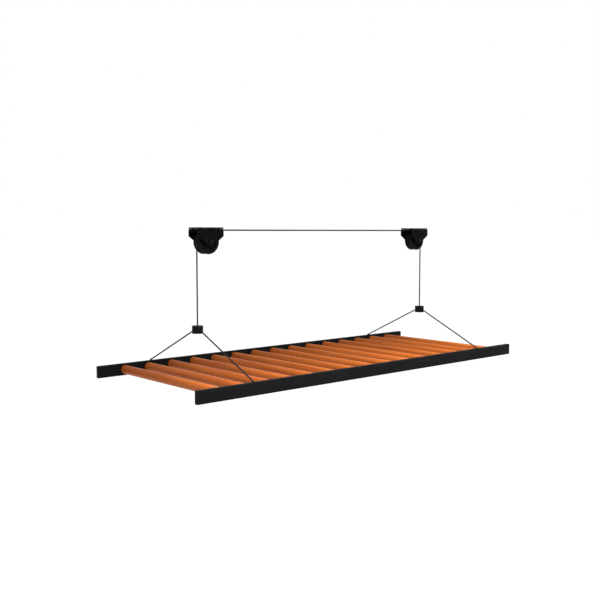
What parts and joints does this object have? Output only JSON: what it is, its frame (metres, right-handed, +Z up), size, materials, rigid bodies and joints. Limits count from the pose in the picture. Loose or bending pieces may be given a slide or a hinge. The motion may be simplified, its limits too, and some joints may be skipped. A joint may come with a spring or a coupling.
{
  "type": "ceiling mounted pulley rack",
  "caption": "Ceiling rack of round wooden bars between two black rails, hung by cable bridles and drop cables from two ceiling pulley blocks.",
  "frame": {"origin": "on the ceiling plane, midway between the two pulley blocks", "axes": "+X along the rails to the right pulley block, +Y towards the rear rail, +Z up into the ceiling"},
  "size_m": [1.5, 0.59, 0.5],
  "materials": {
    "black_coat": "satin black powder coat",
    "black_plastic": "moulded black nylon",
    "black_anodised": "black anodised, turned",
    "black_steel": "black oxide",
    "steel_cable": "dark stranded wire rope",
    "orange_wood": "orange-brown stained and varnished wood"
  },
  "bodies": {
    "ceiling_unit": {"left_mounting_plate": "black_coat", "left_front_cheek": "black_coat", "left_rear_cheek": "black_coat", "left_front_spacer": "black_steel", "left_rear_spacer": "black_steel", "left_axle_bolt": "black_steel", "left_axle_nut": "black_steel", "left_cable_keeper": "black_steel", "left_cheek_screw_1": "black_steel", "left_cheek_screw_2": "black_steel", "left_cheek_screw_3": "black_steel", "left_cheek_screw_4": "black_steel", "right_mounting_plate": "black_coat", "right_front_cheek": "black_coat", "right_rear_cheek": "black_coat", "right_front_spacer": "black_steel", "right_rear_spacer": "black_steel", "right_axle_bolt": "black_steel", "right_axle_nut": "black_steel", "right_cable_keeper": "black_steel", "right_cheek_screw_1": "black_steel", "right_cheek_screw_2": "black_steel", "right_cheek_screw_3": "black_steel", "right_cheek_screw_4": "black_steel", "overhead_cable": "steel_cable"},
    "left_sheave": {"left_sheave": "black_plastic"},
    "right_sheave": {"right_sheave": "black_plastic"},
    "suspension": {"left_drop_cable": "steel_cable", "right_drop_cable": "steel_cable"},
    "rack": {"left_cable_joiner": "black_anodised", "left_front_bridle_leg": "steel_cable", "left_front_leg_anchor": "black_steel", "left_rear_bridle_leg": "steel_cable", "left_rear_leg_anchor": "black_steel", "right_cable_joiner": "black_anodised", "right_front_bridle_leg": "steel_cable", "right_front_leg_anchor": "black_steel", "right_rear_bridle_leg": "steel_cable", "right_rear_leg_anchor": "black_steel", "front_rail": "black_coat", "front_rail_left_cap": "black_plastic", "front_rail_right_cap": "black_plastic", "rear_rail": "black_coat", "rear_rail_left_cap": "black_plastic", "rear_rail_right_cap": "black_plastic", "dowel_01": "orange_wood", "dowel_02": "orange_wood", "dowel_03": "orange_wood", "dowel_04": "orange_wood", "dowel_05": "orange_wood", "dowel_06": "orange_wood", "dowel_07": "orange_wood", "dowel_08": "orange_wood", "dowel_09": "orange_wood", "dowel_10": "orange_wood", "dowel_11": "orange_wood", "dowel_12": "orange_wood", "dowel_13": "orange_wood", "dowel_14": "orange_wood", "dowel_15": "orange_wood"}
  },
  "joints": [
    {"name": "sway", "type": "hinge", "parent": "ceiling_unit", "child": "suspension", "pos_m": [0, 0, -0.046], "axis": [1, 0, 0], "range_deg": [-12, 12]},
    {"name": "lift", "type": "slide", "parent": "suspension", "child": "rack", "axis": [0, 0, 1], "range_m": [-0.9, 0.18], "deforming": ["left_drop_cable", "right_drop_cable"]},
    {"name": "left_sheave_turn", "type": "hinge", "parent": "ceiling_unit", "child": "left_sheave", "pos_m": [-0.508, 0, -0.046], "axis": [0, 1, 0], "continuous": true},
    {"name": "right_sheave_turn", "type": "hinge", "parent": "ceiling_unit", "child": "right_sheave", "pos_m": [0.508, 0, -0.046], "axis": [0, 1, 0], "continuous": true}
  ],
  "couplings": [
    {"joint": "left_sheave_turn", "follows": "lift", "rad_per_m": 27.027},
    {"joint": "right_sheave_turn", "follows": "lift", "rad_per_m": -27.027}
  ]
}
